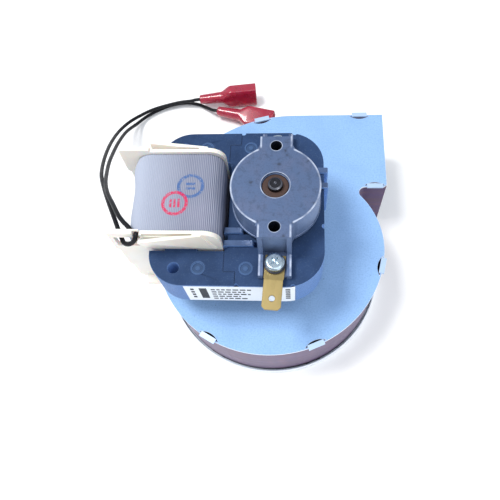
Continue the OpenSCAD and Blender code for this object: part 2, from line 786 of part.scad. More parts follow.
// Terminals: tail at x 0, mouth at x sleeve_len
sleeve_len = 29;
box_len = 12.6;
box_w = 10;
box_h = 6.2;
barrel_r = 2.9;
barrel_tail_r = 2.3;
wire_in = 5;
place_a = [[-43, 90.5, 5.5], 6, 78];
place_b = [[-33.5, 84, 4.5], -14, 15];

module at_terminal(place) {
    translate(place[0]) rotate([0, 0, place[1]]) rotate([place[2], 0, 0]) children();
}

module terminal_sleeve() {
    difference() {
        union() {
            rotate([0, 90, 0]) cylinder(r1 = barrel_tail_r, r2 = barrel_r, h = 12);
            hull() {
                translate([11, 0, 0]) rotate([0, 90, 0]) cylinder(r = barrel_r, h = 1, $fn = 32);
                translate([sleeve_len - box_len, -box_w / 2, -box_h / 2])
                    cube([box_len, box_w, box_h]);
            }
        }
        translate([-1, 0, 0]) rotate([0, 90, 0]) cylinder(r = barrel_r - 1, h = 20);
        translate([sleeve_len - box_len + 0.8, 0.9 - box_w / 2, 0.9 - box_h / 2])
            cube([box_len, box_w - 1.8, box_h - 1.8]);
    }
}

module terminal() {
    shell_w = 7.6;
    shell_h = 2.8;
    shell_x = sleeve_len - box_len + 1.6;
    shell_len = 9.6;
    translate([wire_in, 0, 0]) rotate([0, 90, 0]) cylinder(r = barrel_r - 1.1, h = shell_x - wire_in);
    difference() {
        translate([shell_x - eps, -shell_w / 2, -shell_h / 2]) cube([shell_len, shell_w, shell_h]);
        translate([shell_x + 1.2, -3.3, -0.45]) cube([shell_len, 6.6, 0.9]);
        translate([shell_x + 1.2, -1.4, 0]) cube([shell_len, 2.8, 3]);
    }
}

module terminal_a() {
    color("khaki") at_terminal(place_a) terminal();
}

module terminal_b() {
    color("khaki") at_terminal(place_b) terminal();
}

module terminal_sleeve_a() {
    color("crimson") at_terminal(place_a) terminal_sleeve();
}

module terminal_sleeve_b() {
    color("crimson") at_terminal(place_b) terminal_sleeve();
}

motor_plate();
scroll_band();
inlet_plate();
impeller_back_plate();
impeller_blades();
impeller_front_ring();
impeller_hub();
impeller_set_screw();
motor_shaft();
rotor_core();
rotor_cage();
thrust_washers();
field_core();
yoke_core();
core_rivets();
shading_rings_upper();
shading_rings_lower();
bobbin();
winding();
winding_tape();
upper_bracket();
lower_bracket();
upper_bearing();
lower_bearing();
upper_oil_felt();
lower_oil_felt();
upper_retainer();
lower_retainer();
bracket_screws();
lock_washers();
bracket_nuts();
mount_screws();
ground_tab();
rating_label();
lead_a();
lead_b();
terminal_a();
terminal_b();
terminal_sleeve_a();
terminal_sleeve_b();
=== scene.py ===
"""Combustion fan: materials, detailed soft pieces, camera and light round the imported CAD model.

Metres, in the CAD frame: +Z runs along the shaft towards the motor, +X towards the outlet.
"""

import math

import bpy
from mathutils import Matrix, Vector, noise


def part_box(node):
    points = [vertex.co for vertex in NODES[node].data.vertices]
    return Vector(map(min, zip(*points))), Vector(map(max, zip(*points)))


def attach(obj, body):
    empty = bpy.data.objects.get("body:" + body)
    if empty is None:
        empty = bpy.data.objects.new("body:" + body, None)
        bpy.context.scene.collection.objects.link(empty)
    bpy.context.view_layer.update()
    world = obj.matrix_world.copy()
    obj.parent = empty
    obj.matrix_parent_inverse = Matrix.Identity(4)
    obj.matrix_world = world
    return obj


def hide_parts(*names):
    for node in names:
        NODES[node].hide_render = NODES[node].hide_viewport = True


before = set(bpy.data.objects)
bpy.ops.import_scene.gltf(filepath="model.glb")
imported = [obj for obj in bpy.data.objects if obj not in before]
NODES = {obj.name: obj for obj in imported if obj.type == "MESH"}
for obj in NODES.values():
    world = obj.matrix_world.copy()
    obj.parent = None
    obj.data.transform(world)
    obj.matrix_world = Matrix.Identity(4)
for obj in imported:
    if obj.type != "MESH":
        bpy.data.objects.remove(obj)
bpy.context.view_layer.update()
MM = 0.001
STATOR = "stator"
RIB_PITCH = 0.62

# ---------------------------------------------------------------- camera and light


def add_camera():
    """The photograph's viewing angle: target, azimuth, elevation, roll, distance and lens."""
    azimuth, elevation, roll = (math.radians(a) for a in (12.42, 66.67, -10.98))
    target = Vector((-9.57, -12.92, 52.0)) * MM
    distance = 195.68 * MM
    back = Vector((math.sin(azimuth) * math.cos(elevation),
                   -math.cos(azimuth) * math.cos(elevation),
                   math.sin(elevation)))
    level = Vector((math.cos(azimuth), math.sin(azimuth), 0.0))
    rise = back.cross(level)
    across = math.cos(roll) * level + math.sin(roll) * rise
    up = math.cos(roll) * rise - math.sin(roll) * level
    data = bpy.data.cameras.new("camera")
    data.sensor_width = 36.0
    data.lens = 39.32
    data.clip_start = 0.01
    data.clip_end = 20.0
    camera = bpy.data.objects.new("camera", data)
    camera.matrix_world = Matrix.Translation(target + back * distance) @ Matrix(
        (across, up, back)).transposed().to_4x4()
    bpy.context.collection.objects.link(camera)
    bpy.context.scene.camera = camera


def add_area(name, place, aim, size, power, color):
    """An area light at a place in metres, turned towards its aim, with its power in watts."""
    data = bpy.data.lights.new(name, "AREA")
    data.shape = "RECTANGLE"
    data.size, data.size_y = size
    data.energy = power
    data.color = color
    light = bpy.data.objects.new(name, data)
    light.location = place
    light.rotation_euler = (Vector(aim) - Vector(place)).to_track_quat("-Z", "Y").to_euler()
    bpy.context.collection.objects.link(light)


def add_stage():
    """Even world light, a raised key from the left, a broad sky, a low fill and a paper floor."""
    world = bpy.data.worlds.new("studio")
    world.use_nodes = True
    background = world.node_tree.nodes["Background"]
    background.inputs["Color"].default_value = (0.90, 0.94, 1.0, 1.0)
    background.inputs["Strength"].default_value = 0.62
    bpy.context.scene.world = world
    bpy.context.scene.view_settings.view_transform = "Standard"
    motor = (0.0, 0.0, 0.04)
    add_area("key", (-0.70, 0.12, 1.62), motor, (0.5, 0.5), 21.0, (1.0, 0.99, 0.97))
    add_area("sky", (0.45, -0.45, 1.5), motor, (1.2, 1.2), 8.5, (0.94, 0.97, 1.0))
    add_area("fill", (0.50, -0.60, 0.35), motor, (0.5, 0.4), 1.2, (1.0, 0.97, 0.95))
    mesh = bpy.data.meshes.new("floor")
    half = 3.0
    below = 0.2 * MM
    mesh.from_pydata([(-half, -half, 0), (half, -half, 0), (half, half, 0), (-half, half, 0)],
                     [], [(0, 1, 2, 3)])
    floor = bpy.data.objects.new("floor", mesh)
    floor.location.z = -below
    bpy.context.collection.objects.link(floor)
    look = Look("floor_paper", (0.97, 0.97, 0.97), rough=0.9)
    look.bump(look.noise(900, detail=3), 0.05, 0.0002)
    mesh.materials.append(look.material)


# ---------------------------------------------------------------- materials


# Blender's wave texture repeats every pi / 10 metres at a scale of 1
WAVE_SCALE = math.pi / 10


class Look:
    """A node material that is built up step by step from noise, waves and masks."""

    def __init__(self, name, color, rough=0.5, metal=0.0, **sockets):
        self.material = bpy.data.materials.new(name)
        self.material.use_nodes = True
        self.tree = self.material.node_tree
        self.shader = self.tree.nodes["Principled BSDF"]
        self.shader.inputs["Base Color"].default_value = (*color, 1.0)
        self.shader.inputs["Roughness"].default_value = rough
        self.shader.inputs["Metallic"].default_value = metal
        for key, value in sockets.items():
            self.shader.inputs[key.replace("_", " ")].default_value = value
        self.place = self.add("ShaderNodeTexCoord").outputs["Object"]

    def add(self, kind, **fields):
        node = self.tree.nodes.new(kind)
        for key, value in fields.items():
            setattr(node, key, value)
        return node

    def link(self, source, target):
        self.tree.links.new(source, target)

    def stretched(self, scale):
        """Object coordinates in metres, scaled unevenly."""
        node = self.add("ShaderNodeMapping")
        node.inputs["Scale"].default_value = scale
        self.link(self.place, node.inputs["Vector"])
        return node.outputs["Vector"]

    def noise(self, scale, detail=4.0, rough=0.55, where=None):
        node = self.add("ShaderNodeTexNoise")
        node.inputs["Scale"].default_value = scale
        node.inputs["Detail"].default_value = detail
        node.inputs["Roughness"].default_value = rough
        self.link(where or self.place, node.inputs["Vector"])
        return node.outputs["Fac"]

    def wave(self, period, axis="X", distortion=0.0):
        """Soft bands across an axis, one every period millimetres."""
        node = self.add("ShaderNodeTexWave", wave_type="BANDS", bands_direction=axis,
                        wave_profile="SIN")
        node.inputs["Scale"].default_value = WAVE_SCALE / (period * MM)
        node.inputs["Distortion"].default_value = distortion
        self.link(self.place, node.inputs["Vector"])
        return node.outputs["Fac"]

    def ramp(self, factor, low, high, start=0.0, end=1.0):
        """Spreads a factor: start to end of the input becomes 0 to 1 of the output."""
        node = self.add("ShaderNodeMapRange")
        node.inputs["From Min"].default_value = low
        node.inputs["From Max"].default_value = high
        node.inputs["To Min"].default_value = start
        node.inputs["To Max"].default_value = end
        self.link(factor, node.inputs["Value"])
        return node.outputs["Result"]

    def math(self, operation, a, b=None):
        node = self.add("ShaderNodeMath", operation=operation)
        for socket, value in zip(node.inputs, (a, b)):
            if value is None:
                continue
            if isinstance(value, (int, float)):
                socket.default_value = value
            else:
                self.link(value, socket)
        return node.outputs["Value"]

    def color_now(self):
        socket = self.shader.inputs["Base Color"]
        return socket.links[0].from_socket if socket.is_linked else socket.default_value[:]

    def tint(self, factor, color):
        """Mixes a colour into the base colour where the factor is high."""
        node = self.add("ShaderNodeMix", data_type="RGBA")
        now = self.color_now()
        if isinstance(now, tuple):
            self.rgba(node, "A").default_value = now
        else:
            self.link(now, self.rgba(node, "A"))
        self.rgba(node, "B").default_value = (*color, 1.0)
        self.link(factor, node.inputs["Factor"])
        out = [s for s in node.outputs if s.type == "RGBA"][0]
        self.link(out, self.shader.inputs["Base Color"])

    @staticmethod
    def rgba(node, name):
        return [s for s in node.inputs if s.name == name and s.type == "RGBA"][0]

    def roughness(self, factor, low, high):
        """Varies the roughness between two values with the middle half of a factor."""
        self.link(self.ramp(factor, 0.25, 0.75, low, high), self.shader.inputs["Roughness"])

    def bump(self, height, strength, distance=0.0001):
        node = self.add("ShaderNodeBump")
        node.inputs["Strength"].default_value = strength
        node.inputs["Distance"].default_value = distance
        self.link(height, node.inputs["Height"])
        normal = self.shader.inputs["Normal"]
        if normal.is_linked:
            self.link(normal.links[0].from_socket, node.inputs["Normal"])
        self.link(node.outputs["Normal"], normal)

    def from_line(self, x, y):
        """Distance from an upright line that stands at a place in millimetres."""
        dx = self.math("SUBTRACT", self.axis("X"), x * MM)
        dy = self.math("SUBTRACT", self.axis("Y"), y * MM)
        squares = self.math("ADD", self.math("MULTIPLY", dx, dx), self.math("MULTIPLY", dy, dy))
        return self.math("SQRT", squares)

    def near(self, value, place, half, soft=0.12):
        """1 within half millimetres of a place, fading to 0 over the soft distance."""
        away = self.math("ABSOLUTE", self.math("SUBTRACT", value, place * MM))
        return self.ramp(away, half * MM, (half + soft) * MM, 1.0, 0.0)

    def upright(self):
        """How far a face's normal leans up or down: 0 on a wall, 1 on a level face."""
        node = self.add("ShaderNodeSeparateXYZ")
        self.link(self.place.node.outputs["Normal"], node.inputs["Vector"])
        return self.math("ABSOLUTE", node.outputs["Z"])

    def sides(self):
        """1 on upright faces, 0 on level ones."""
        return self.ramp(self.upright(), 0.25, 0.75, 1.0, 0.0)

    def painted_edge_highlight(self, color, amount):
        """Painted highlight on the rounded edges, where the normal is between level and upright."""
        lean = self.upright()
        edge = self.math("MULTIPLY", self.ramp(lean, 0.15, 0.35),
                         self.ramp(lean, 0.90, 0.985, 1.0, 0.0))
        self.tint(self.math("MULTIPLY", edge, amount), color)

    def axis(self, letter):
        """One object coordinate in metres."""
        node = self.add("ShaderNodeSeparateXYZ")
        self.link(self.place, node.inputs["Vector"])
        return node.outputs[letter]


def galvanised(name, color, dark):
    look = Look(name, color, rough=0.6, metal=0.12, Specular_IOR_Level=0.2)
    broad = look.noise(70, detail=3)
    fine = look.noise(1500, detail=4, rough=0.7)
    look.tint(look.ramp(broad, 0.42, 0.70, 0.0, 0.35), dark)
    look.tint(look.ramp(fine, 0.45, 0.62, 0.0, 0.55), dark)
    specks = look.noise(650, detail=1)
    look.tint(look.ramp(specks, 0.77, 0.80, 0.0, 0.45), tuple(c * 0.35 for c in dark))
    # Painted highlight on the rounded edges
    look.painted_edge_highlight((0.88, 0.94, 1.0), 1.0)
    # Painted highlight: the upright faces are lighter
    look.tint(look.math("MULTIPLY", look.sides(), 0.8), (0.90, 0.94, 1.0))
    look.roughness(fine, 0.50, 0.66)
    look.bump(fine, 0.12)
    return look.material


# Heights on the scroll band in millimetres: the painted shadow over the rim and the bright upper edge
RIM_SHADOW = (3.2, 4.0)
BRIGHT_EDGE = (31.7, 31.9)


def band_steel():
    # Painted reflection and shade: the wall's dark purple-brown stands for its surroundings, not the
    # galvanised grey
    look = Look("band_steel", (0.105, 0.066, 0.165), rough=0.42, metal=0.35)
    grain = look.noise(60, detail=5, where=look.stretched((1, 1, 14)))
    look.tint(look.ramp(grain, 0.40, 0.65, 0.0, 0.7), (0.15, 0.10, 0.14))
    look.tint(look.ramp(look.noise(260, detail=3), 0.50, 0.70, 0.0, 0.35), (0.22, 0.11, 0.17))
    look.roughness(grain, 0.36, 0.52)
    height = look.axis("Z")
    shadow_low, shadow_high = (z * MM for z in RIM_SHADOW)
    edge_low, edge_high = (z * MM for z in BRIGHT_EDGE)
    # Painted shadow in the gap just above the inlet plate's rim
    look.tint(look.ramp(height, shadow_low, shadow_high, 0.9, 0.0), (0.01, 0.014, 0.03))
    look.tint(look.ramp(height, edge_low, edge_high), (0.45, 0.60, 0.80))
    look.bump(grain, 0.1)
    return look.material


def wheel_sheet():
    look = Look("wheel_sheet", (0.62, 0.64, 0.67), rough=0.38, metal=0.9)
    grain = look.noise(400, detail=4)
    look.tint(look.ramp(grain, 0.45, 0.7, 0.0, 0.5), (0.42, 0.43, 0.46))
    look.roughness(grain, 0.3, 0.5)
    look.bump(grain, 0.1)
    return look.material


def turned_steel(name, color):
    look = Look(name, color, rough=0.28, metal=1.0)
    rings = look.wave(0.1, axis="Z", distortion=0.4)
    look.tint(look.ramp(look.noise(900), 0.5, 0.7, 0.0, 0.5), tuple(c * 0.45 for c in color))
    # Painted highlight on the rounded edges
    look.painted_edge_highlight((0.25, 0.26, 0.30), 0.7)
    look.bump(rings, 0.06)
    return look.material


# The stepped joint between the two cores, as in the CAD model, in millimetres
JOINT_IN = -17.5
JOINT_OUT = -13.5
JOINT_Y = 25.0
ARM_Y = 17.5
SEAM_HALF = 0.1


def core_seam(look):
    """The dark gap between the cores: inner run, step outwards, outer run to the edge."""
    x = look.axis("X")
    along = look.math("ABSOLUTE", look.axis("Y"))
    beyond = look.math("GREATER_THAN", along, JOINT_Y * MM)
    from_arm = look.math("GREATER_THAN", along, ARM_Y * MM)
    inner = look.math("MULTIPLY", look.near(x, JOINT_IN, SEAM_HALF),
                      look.math("SUBTRACT", from_arm, beyond))
    outer = look.math("MULTIPLY", look.near(x, JOINT_OUT, SEAM_HALF), beyond)
    step = look.math("MULTIPLY", look.near(along, JOINT_Y, SEAM_HALF),
                     look.near(x, (JOINT_IN + JOINT_OUT) / 2, (JOINT_OUT - JOINT_IN) / 2))
    return look.math("MAXIMUM", look.math("MAXIMUM", inner, outer), step)


def core_varnish(name, color):
    """Varnished laminations: 0.5 mm sheets show as lines round the sides."""
    look = Look(name, color, rough=0.6, Specular_IOR_Level=0.1)
    blotch = look.noise(120, detail=5)
    fine = look.noise(1800, detail=3)
    look.tint(look.ramp(blotch, 0.40, 0.66, 0.0, 0.6), tuple(c * 0.6 for c in color))
    look.tint(look.ramp(fine, 0.56, 0.74, 0.0, 0.35), (0.08, 0.13, 0.22))
    # Painted highlight on the rounded edges
    look.painted_edge_highlight((0.12, 0.20, 0.38), 0.4)
    look.tint(look.math("MULTIPLY", core_seam(look), 0.9), (0.006, 0.010, 0.022))
    # Lighter upright sides: partly bare lamination edges, partly painted reflection of the sky
    look.tint(look.math("MULTIPLY", look.sides(), 0.8), (0.17, 0.31, 0.64))
    sheets = look.wave(0.5, axis="Z")
    look.tint(look.ramp(sheets, 0.0, 0.18, 0.6, 0.0), (0.008, 0.014, 0.035))
    look.roughness(blotch, 0.45, 0.65)
    look.bump(sheets, 0.35)
    look.bump(fine, 0.08)
    return look.material


def ring_varnish():
    look = Look("ring_varnish", (0.065, 0.115, 0.24), rough=0.22, metal=0.2, Coat_Weight=0.4)
    look.tint(look.ramp(look.noise(500), 0.45, 0.7, 0.0, 0.5), (0.03, 0.055, 0.13))
    # Painted reflection: the upright faces of the rings are lighter
    look.tint(look.math("MULTIPLY", look.sides(), 0.8), (0.16, 0.30, 0.62))
    look.bump(look.noise(300, detail=2), 0.15)
    return look.material


def nylon(name, color, shade):
    look = Look(name, color, rough=0.38, Subsurface_Weight=0.25, Subsurface_Scale=0.0015)
    broad = look.noise(55, detail=3)
    look.tint(look.ramp(broad, 0.45, 0.75, 0.0, 0.55), shade)
    look.roughness(broad, 0.32, 0.5)
    look.bump(look.noise(700, detail=2), 0.08)
    return look.material


def copper_wire():
    look = Look("copper_wire", (0.55, 0.20, 0.07), rough=0.25, metal=0.9)
    look.bump(look.wave(0.2, axis="Y"), 0.5)
    look.tint(look.ramp(look.noise(400), 0.4, 0.7, 0.0, 0.5), (0.25, 0.08, 0.03))
    return look.material


# The casting's outlines, as in the CAD model, in millimetres
CUP_R = 14.9
ARM_X = 5.2
BOSS_Y = 15.0
BOSS_HOLE_R = 1.9
SEAT_R = 4.75


def worn_and_highlit_metal(look, color):
    """Bright wear and painted highlight along the casting's upper edges, arms and hole rims."""
    flat = look.ramp(look.upright(), 0.80, 0.95)
    across = look.math("ABSOLUTE", look.axis("X"))
    along = look.math("ABSOLUTE", look.axis("Y"))
    centre = look.from_line(0, 0)
    rim = look.near(centre, CUP_R - 0.2, 0.18, 0.25)
    cup = look.math("MULTIPLY", rim, look.ramp(across, (ARM_X + 0.4) * MM, (ARM_X + 0.9) * MM))
    arms = look.math("MULTIPLY", look.near(across, ARM_X - 0.1, 0.18, 0.2),
                     look.ramp(along, (CUP_R - 1) * MM, CUP_R * MM))
    mask = look.math("MAXIMUM", cup, arms)
    bosses = [look.from_line(0, side * BOSS_Y) for side in (-1, 1)]
    holes = [look.near(boss, BOSS_HOLE_R + 0.1, 0.06, 0.16) for boss in bosses]
    for part in holes + [look.near(centre, SEAT_R + 0.1, 0.08, 0.15)]:
        mask = look.math("MAXIMUM", mask, part)
    patchy = look.ramp(look.noise(260, detail=3), 0.35, 0.62, 0.20, 0.70)
    look.tint(look.math("MULTIPLY", look.math("MULTIPLY", mask, flat), patchy), color)
    # Painted shade inside the bosses' holes
    for boss in bosses:
        bore = look.ramp(boss, BOSS_HOLE_R * MM, (BOSS_HOLE_R + 0.06) * MM, 0.95, 0.0)
        look.tint(bore, (0.006, 0.008, 0.014))


def die_cast():
    look = Look("die_cast", (0.080, 0.128, 0.245), rough=0.5, metal=0.4)
    broad = look.noise(180, detail=5, rough=0.6)
    fine = look.noise(1600, detail=4, rough=0.7)
    look.tint(look.ramp(broad, 0.42, 0.66, 0.0, 0.5), (0.11, 0.135, 0.235))
    look.tint(look.ramp(fine, 0.50, 0.70, 0.0, 0.5), (0.055, 0.075, 0.14))
    clouds = look.noise(420, detail=4, rough=0.7)
    look.tint(look.ramp(clouds, 0.50, 0.66, 0.0, 0.6), (0.045, 0.070, 0.130))
    look.tint(look.ramp(look.noise(420, detail=1), 0.70, 0.76, 0.0, 0.6), (0.03, 0.035, 0.06))
    # Painted light: the upright walls are lighter than the level faces
    look.tint(look.math("MULTIPLY", look.sides(), 0.4), (0.19, 0.28, 0.48))
    # Worn metal and painted highlight along the casting's edges
    worn_and_highlit_metal(look, (0.62, 0.69, 0.84))
    look.roughness(fine, 0.36, 0.56)
    look.bump(fine, 0.22)
    look.bump(broad, 0.15)
    return look.material


def bronze():
    look = Look("bronze", (0.060, 0.028, 0.020), rough=0.6, metal=0.2)
    pores = look.noise(2500, detail=3)
    look.tint(look.ramp(pores, 0.5, 0.7, 0.0, 0.6), (0.02, 0.014, 0.014))
    look.bump(pores, 0.2)
    return look.material


def felt():
    look = Look("felt", (0.60, 0.55, 0.42), rough=0.95, Sheen_Weight=0.5)
    look.bump(look.noise(3000, detail=5), 0.8)
    look.tint(look.ramp(look.noise(800), 0.4, 0.7, 0.0, 0.5), (0.38, 0.33, 0.22))
    return look.material


def plated(name, color, rough):
    look = Look(name, color, rough=rough, metal=1.0)
    grain = look.noise(1200, detail=4)
    look.tint(look.ramp(grain, 0.48, 0.72, 0.0, 0.5), tuple(c * 0.5 for c in color))
    look.roughness(grain, rough * 0.8, rough * 1.6)
    look.bump(grain, 0.08)
    return look.material


def brass_sheet():
    look = Look("brass_sheet", (0.28, 0.215, 0.085), rough=0.42, metal=0.6)
    grain = look.noise(120, detail=5, where=look.stretched((6, 1, 6)))
    spots = look.noise(520, detail=3)
    look.tint(look.ramp(grain, 0.42, 0.66, 0.0, 0.5), (0.28, 0.205, 0.08))
    look.tint(look.ramp(spots, 0.62, 0.74, 0.0, 0.5), (0.21, 0.14, 0.05))
    look.roughness(grain, 0.28, 0.46)
    look.bump(grain, 0.12)
    return look.material


def dark_steel(name, color):
    look = Look(name, color, rough=0.34, metal=0.8)
    grain = look.noise(900, detail=3)
    look.tint(look.ramp(grain, 0.5, 0.7, 0.0, 0.5), tuple(c * 2.2 for c in color))
    look.bump(grain, 0.1)
    return look.material


def label_film():
    look = Look("label_film", (0.80, 0.85, 0.90), rough=0.5)
    look.tint(look.ramp(look.noise(300), 0.5, 0.75, 0.0, 0.3), (0.70, 0.74, 0.80))
    look.bump(look.noise(500, detail=2), 0.05)
    return look.material


def ink(name, color):
    look = Look(name, color, rough=0.7)
    look.tint(look.ramp(look.noise(2500), 0.45, 0.7, 0.0, 0.5), tuple(c * 2 for c in color))
    return look.material


def lead_insulation():
    look = Look("lead_insulation", (0.003, 0.0035, 0.006), rough=0.5, Specular_IOR_Level=0.25)
    smears = look.noise(350, detail=4)
    look.tint(look.ramp(smears, 0.50, 0.75, 0.0, 0.5), (0.010, 0.012, 0.020))
    look.roughness(smears, 0.4, 0.6)
    look.bump(look.noise(900, detail=2), 0.08)
    return look.material


def sleeve_nylon():
    look = Look("sleeve_nylon", (0.58, 0.025, 0.075), rough=0.22, Transmission_Weight=0.45,
                IOR=1.5, Subsurface_Weight=0.2, Subsurface_Scale=0.002, Coat_Weight=0.5)
    cloudy = look.noise(220, detail=3)
    look.tint(look.ramp(cloudy, 0.45, 0.75, 0.0, 0.6), (0.42, 0.02, 0.06))
    look.roughness(cloudy, 0.16, 0.34)
    look.bump(look.noise(500, detail=2), 0.1)
    return look.material


# Millimetres: stamps and the painted highlight along the ribs show above this height only, so on
# the upper face and the bends beside it. Between two places in X the tape fades from its pale left
# end.
TAPE_TOP_Z = 66
PALE_END = (-47, -30)
# Two stamps on it, as x, y and radius of a ring
BLUE_STAMP = (-28.9, 2.1, 4.1)
RED_STAMP = (-33.8, -4.4, 4.0)
# Generic inspection marks inside the two stamps, as bars: x, y, half width, half height
BLUE_MARKS = [(0.0, y, 1.5, 0.3) for y in (-0.9, 0.9)]
RED_MARKS = [(x, 0.0, 0.25, 1.4) for x in (-1.4, 0.0, 1.4)]


def coil_tape():
    """Glass-cloth tape, blue-grey in this light, with a red and a blue stamp on its upper face."""
    look = Look("coil_tape", (0.165, 0.185, 0.265), rough=0.85)
    fibre = look.noise(1800, detail=4)
    look.tint(look.ramp(fibre, 0.45, 0.72, 0.0, 0.5), (0.14, 0.155, 0.24))
    look.tint(look.ramp(look.noise(75, detail=3), 0.5, 0.75, 0.0, 0.4), (0.25, 0.24, 0.34))
    x, y, z = (look.axis(a) for a in "XYZ")
    pale_from, pale_to = (place * MM for place in PALE_END)
    look.tint(look.ramp(x, pale_from, pale_to, 0.75, 0.0), (0.48, 0.54, 0.66))
    upper = look.math("GREATER_THAN", z, TAPE_TOP_Z * MM)
    broken = look.ramp(look.noise(1500, detail=2), 0.30, 0.48)
    # Painted highlight along the rib crests, on the upper face only
    rib_highlight = look.ramp(look.wave(RIB_PITCH), 0.15, 0.85)
    look.tint(look.math("MULTIPLY", look.math("MULTIPLY", rib_highlight, upper), 0.5), (0.46, 0.475, 0.56))

    def stamp(ring, color, marks):
        cx, cy, radius = ring
        mask = look.near(look.from_line(cx, cy), radius, 0.36, 0.35)
        for mark_x, mark_y, half_x, half_y in marks:
            bar = look.math("MULTIPLY", look.near(x, cx + mark_x, half_x, 0.3),
                            look.near(y, cy + mark_y, half_y, 0.3))
            mask = look.math("MAXIMUM", mask, bar)
        mask = look.math("MULTIPLY", look.math("MULTIPLY", mask, upper), broken)
        look.tint(look.math("MULTIPLY", mask, 0.9), color)

    stamp(BLUE_STAMP, (0.05, 0.13, 0.34), BLUE_MARKS)
    stamp(RED_STAMP, (0.62, 0.015, 0.09), RED_MARKS)
    look.bump(fibre, 0.3)
    return look.material


# ---------------------------------------------------------------- CAD nodes


def dress(node, material, bevel=0.0, segments=2):
    """Gives a CAD node its material and, for a bevel in millimetres, rounded edges."""
    piece = NODES[node]
    piece.data.materials.clear()
    piece.data.materials.append(material)
    if bevel:
        weld = piece.modifiers.new("weld", "WELD")
        weld.merge_threshold = 0.000002
        edge = piece.modifiers.new("edge", "BEVEL")
        edge.width = bevel * MM
        edge.segments = segments
        edge.limit_method = "ANGLE"
        edge.angle_limit = math.radians(38)
        edge.use_clamp_overlap = True


def dress_cad():
    plate = galvanised("galvanised", (0.29, 0.48, 0.78), (0.20, 0.35, 0.62))
    dress("motor_plate", plate, 0.2)
    # Painted highlight: a lighter copy of the galvanised steel, for the bright line of the inlet
    # plate's rim
    dress("inlet_plate", galvanised("galvanised_inlet_lit", (0.68, 0.74, 0.84), (0.46, 0.54, 0.66)), 0.28)
    dress("scroll_band", band_steel(), 0.08)
    wheel = wheel_sheet()
    for node in ("impeller_back_plate", "impeller_blades", "impeller_front_ring"):
        dress(node, wheel)
    dress("impeller_hub", plated("hub_alloy", (0.6, 0.61, 0.63), 0.35), 0.25)
    dress("impeller_set_screw", dark_steel("black_steel", (0.03, 0.03, 0.035)))
    dress("motor_shaft", turned_steel("shaft_steel", (0.05, 0.05, 0.06)), 0.1)
    dress("rotor_core", turned_steel("rotor_steel", (0.22, 0.23, 0.26)))
    dress("rotor_cage", plated("cage_alloy", (0.7, 0.71, 0.73), 0.4), 0.2)
    dress("thrust_washers", nylon("washer_nylon", (0.75, 0.70, 0.58), (0.6, 0.55, 0.42)), 0.15)
    core = core_varnish("core_varnish", (0.026, 0.056, 0.138))
    dress("field_core", core, 0.2)
    dress("yoke_core", core, 0.2)
    dress("core_rivets", core_varnish("rivet_varnish", (0.060, 0.115, 0.240)), 0.12)
    ring = ring_varnish()
    dress("shading_rings_upper", ring, 0.5, 3)
    dress("shading_rings_lower", ring, 0.5, 3)
    dress("bobbin", nylon("bobbin_nylon", (0.84, 0.81, 0.74), (0.72, 0.65, 0.52)), 0.3, 3)
    dress("winding", copper_wire())
    cast = die_cast()
    dress("upper_bracket", cast, 0.35, 3)
    dress("lower_bracket", cast, 0.35, 3)
    for level in ("upper", "lower"):
        dress(level + "_bearing", bronze_look, 0.1)
        dress(level + "_oil_felt", felt_look)
        dress(level + "_retainer", spring_look, 0.08)
    zinc = plated("zinc_plate", (0.42, 0.52, 0.60), 0.24)
    for node in ("bracket_screws", "mount_screws", "bracket_nuts"):
        dress(node, zinc, 0.12)
    dress("lock_washers", spring_look, 0.12)
    dress("ground_tab", brass_sheet(), 0.12)
    dress("rating_label", label_film())
    for node in ("terminal_a", "terminal_b"):
        dress(node, plated("tinned_brass", (0.80, 0.76, 0.66), 0.3), 0.1)


# ---------------------------------------------------------------- pieces made here


def add_mesh(name, verts, faces, material, smooth=True):
    mesh = bpy.data.meshes.new(name)
    mesh.from_pydata(verts, [], faces)
    mesh.update()
    mesh.materials.append(material)
    for face in mesh.polygons:
        face.use_smooth = smooth
    piece = bpy.data.objects.new(name, mesh)
    bpy.context.collection.objects.link(piece)
    return piece


def grid_faces(rows, columns):
    """Quads between rows of points, each row a closed ring."""
    faces = []
    for r in range(rows - 1):
        for c in range(columns):
            n = (c + 1) % columns
            faces.append((r * columns + c, r * columns + n, (r + 1) * columns + n,
                          (r + 1) * columns + c))
    return faces


# Leads, point by point as in the CAD model, in millimetres
LEAD_D = 1.6
LEAD_A = [
    (-45.5, -15.5, 72), (-45.5, -16.5, 72), (-46, -17.5, 71), (-47.2, -18, 69.5),
    (-49, -18, 68.2), (-50.8, -17, 67.3), (-52, -15, 67), (-53.5, -12, 67),
    (-56, -7, 66), (-61, 2, 61), (-66, 11, 54.5), (-71, 21, 47),
    (-75, 32, 38), (-78, 44, 29), (-80, 56, 20), (-80.5, 67, 12),
    (-78.5, 76, 6.5), (-74, 81.5, 4.5), (-68, 86, 3.5), (-61, 89, 3),
    (-54, 90.5, 3.5), (-48, 90.5, 4.5), (-44.5, 90.5, 5.5), (-38, 91, 5.5)]
LEAD_B = [
    (-47.5, -15, 72), (-48, -14, 72), (-49, -12.8, 71.8), (-50.8, -11, 71.2),
    (-53.2, -8, 70), (-57, -2, 66.5), (-61.5, 5, 61.5), (-65.5, 13, 55),
    (-69, 22, 47), (-72, 32, 39), (-74.5, 43, 30), (-76.5, 55, 20.5),
    (-77, 67, 11.5), (-75, 77, 4), (-71, 83.5, 1.5), (-65, 88, 1),
    (-58, 91, 1), (-51, 92, 1), (-45, 91, 1), (-40, 88, 2),
    (-37, 85.5, 3.5), (-35, 84.3, 4.5), (-28.5, 82.8, 4.5)]


